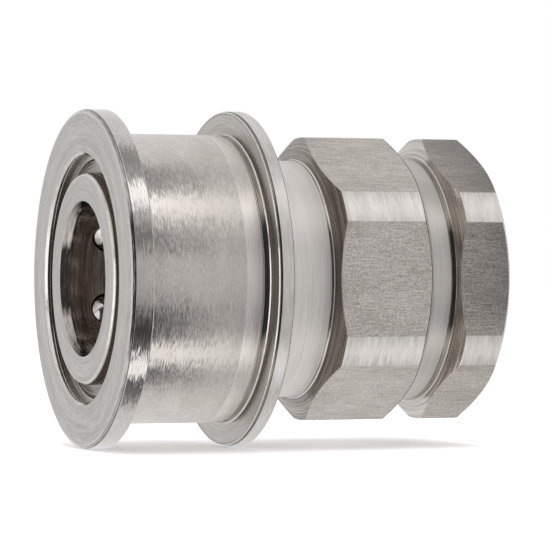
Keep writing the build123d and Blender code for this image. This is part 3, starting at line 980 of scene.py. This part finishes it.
# %% [markdown]
# The picture was lit as polished metal usually is: the coupling lies in a pale tent, with a
# bright strip above and below the lens, and a gap beside each strip. What a turned surface shows
# is that tent, wrapped round it, so the world is a tent. Its brightness depends on two things:
# the angle round the coupling's axis, counted from the front, and the slant along the axis. The
# strips and gaps are sharp only near the lens. Further along the axis the cloth is even. To the
# left of the lens the tent is open and dark in front, up to a bright window at its end, shut
# above and half shut below. The camera sees plain white, and soft materials get even light.

# %% Tent
world = bpy.data.worlds.new("light_tent")
bpy.context.scene.world = world
world.use_nodes = True
tent = world.node_tree
tent.nodes.clear()
direction = add(tent, "SeparateXYZ", {0: add(tent, "TexCoord").outputs["Generated"]}).outputs
towards_front = add(tent, "Math", {0: direction["Y"], 1: -1.0}, operation="MULTIPLY")
round_axis = add(tent, "Math", {0: direction["Z"], 1: towards_front}, operation="ARCTAN2")
round_share = add(tent, "MapRange", {"Value": round_axis, "From Min": -pi, "From Max": pi})
slant_share = add(tent, "MapRange", {"Value": direction["X"], "From Min": -1.0, "From Max": 1.0})


def brightness(share, reach, *stops):
    """Brightness along a share from 0 to 1. Each stop is (value from -reach to reach, brightness):
    degrees round the axis, from the front and upwards, or the slant, -1 past the mouth."""
    ramp = add(tent, "ValToRGB", {0: share})
    elements = ramp.color_ramp.elements
    while len(elements) < len(stops):
        elements.new(0.5)
    for element, (value, _) in zip(elements, stops):
        element.position = (value + reach) / (2 * reach)
    for element, (_, grey) in zip(elements, stops):
        element.color = (grey, grey, grey, 1)
    return ramp


by_the_lens = brightness(
    round_share, 180,
    (-180, 0.86), (-120, 0.84), (-104, 0.78), (-96, 0.62), (-89, 0.3), (-80, 0.16), (-73, 0.2),
    (-68, 1.2), (-60, 1.3), (-55, 1.2), (-50, 0.25), (-44, 0.12), (-34, 0.05), (-26, 0.13),
    (-18, 0.36), (-8, 0.5), (0, 0.54), (16, 0.58), (22, 0.3), (29, 0.22), (36, 0.36), (44, 0.55),
    (51, 1.0), (56, 1.4), (66, 1.4), (71, 0.55), (80, 0.38), (91, 0.34), (97, 0.44), (105, 0.72),
    (114, 0.8), (180, 0.86),
)
along_the_tent = brightness(
    round_share, 180,
    (-180, 0.8), (-130, 0.86), (-110, 0.86), (-82, 0.96), (-66, 1.25), (-56, 1.25), (-44, 1.1),
    (-30, 1.0), (0, 0.98), (30, 1.0), (44, 1.06), (56, 1.18), (66, 1.18), (82, 0.92), (110, 0.8),
    (180, 0.8),
)
front = brightness(round_share, 180, (-62, 0), (-46, 1), (46, 1), (62, 0))
window_height = brightness(
    round_share, 180,
    (-180, 1), (-110, 1), (-90, 0.3), (-66, 1), (34, 1), (52, 0), (96, 0), (120, 1), (180, 1),
)
lens_share = brightness(slant_share, 1, (0.12, 0), (0.26, 1), (0.42, 1), (0.56, 0))
open_end = brightness(
    slant_share, 1, (-1, 0.12), (-0.52, 0.08), (-0.16, 0.08), (0, 0.6), (0.1, 1), (1, 1)
)
window = brightness(slant_share, 1, (-0.84, 1), (-0.74, 0))
white = (1, 1, 1, 1)
window_white = (1.5, 1.5, 1.5, 1)
even_white = (0.95, 0.95, 0.95, 1)
opened = add(tent, "Mix", {0: front, 6: white, 7: open_end}, data_type="RGBA").outputs[2]
both = {0: 1.0, 6: along_the_tent, 7: opened}
cloth = add(tent, "Mix", both, data_type="RGBA", blend_type="MULTIPLY").outputs[2]
glazed = add(tent, "Math", {0: window, 1: window_height}, operation="MULTIPLY")
far_cloth = add(tent, "Mix", {0: glazed, 6: cloth, 7: window_white}, data_type="RGBA").outputs[2]
tented = add(tent, "Mix", {0: lens_share, 6: far_cloth, 7: by_the_lens}, data_type="RGBA").outputs[2]
rays = add(tent, "LightPath").outputs
mirrored = {0: rays["Is Glossy Ray"], 1: rays["Is Transmission Ray"]}
by_metal = add(tent, "Math", mirrored, operation="MAXIMUM")
lit = add(tent, "Mix", {0: by_metal, 6: even_white, 7: tented}, data_type="RGBA").outputs[2]
seen = add(tent, "Mix", {0: rays["Is Camera Ray"], 6: lit, 7: white}, data_type="RGBA").outputs[2]
add(tent, "OutputWorld", {0: add(tent, "Background", {"Color": seen, "Strength": 1.0})})
print("tent nodes:", len(tent.nodes))

# %% [markdown]
# One large soft lamp overhead gives the floor its shadow. Metal doesn't show it, because the tent
# already holds what the metal mirrors.

# %% Lamp
lamp_data = bpy.data.lights.new("overhead_softbox", "AREA")
lamp_data.size = 0.3
lamp_data.energy = 0.6
lamp = bpy.data.objects.new("overhead_softbox", lamp_data)
lamp.location = (-0.02, -0.05, 0.35)
lamp.visible_glossy = False
bpy.context.scene.collection.objects.link(lamp)
print(f"lamp: {lamp_data.energy} W, {lamp_data.size} m wide")

# %% [markdown]
# The floor is a pale matt board just under the flanges. It catches the soft shadow, and glows a
# little for the camera, so that it is as white as the background. Mirrors do not see it, because
# the coupling was photographed clear of any table.

# %% Floor
FLOOR_GAP = 0.05
FLOOR_REACH = 3000
FLOOR_GLOW = 0.25
floor_paint, paint = new_material("pale_board")
board_place = add(paint, "TexCoord").outputs["Object"]
board_noise = add(paint, "TexNoise", {"Vector": board_place, "Scale": 90.0})
board_tone = add(paint, "ValToRGB", {0: board_noise})
for stop, colour in zip(board_tone.color_ramp.elements, ("#F6F6F5", "#FBFBFA")):
    stop.color = linear(colour)
board = add(paint, "BsdfDiffuse", {"Color": board_tone})
for_camera = {0: add(paint, "LightPath").outputs["Is Camera Ray"], 1: FLOOR_GLOW}
strength = add(paint, "Math", for_camera, operation="MULTIPLY")
glow = add(paint, "Emission", {"Color": white, "Strength": strength})
add(paint, "OutputMaterial", {0: add(paint, "AddShader", {0: board, 1: glow})})

floor_z = -flange_radius - FLOOR_GAP
floor_mesh = bpy.data.meshes.new("floor")
floor_corners = np.array([(-1, -1, 0), (1, -1, 0), (1, 1, 0), (-1, 1, 0)]) * FLOOR_REACH + (0, 0, floor_z)
floor_mesh.from_pydata((floor_corners * MM).tolist(), [], [(0, 1, 2, 3)])
floor_mesh.materials.append(floor_paint)
floor = bpy.data.objects.new("floor", floor_mesh)
floor.visible_glossy = False
bpy.context.scene.collection.objects.link(floor)
print(f"floor at {floor_z:.2f} mm")

# %% Colour management
bpy.context.scene.view_settings.view_transform = "Standard"
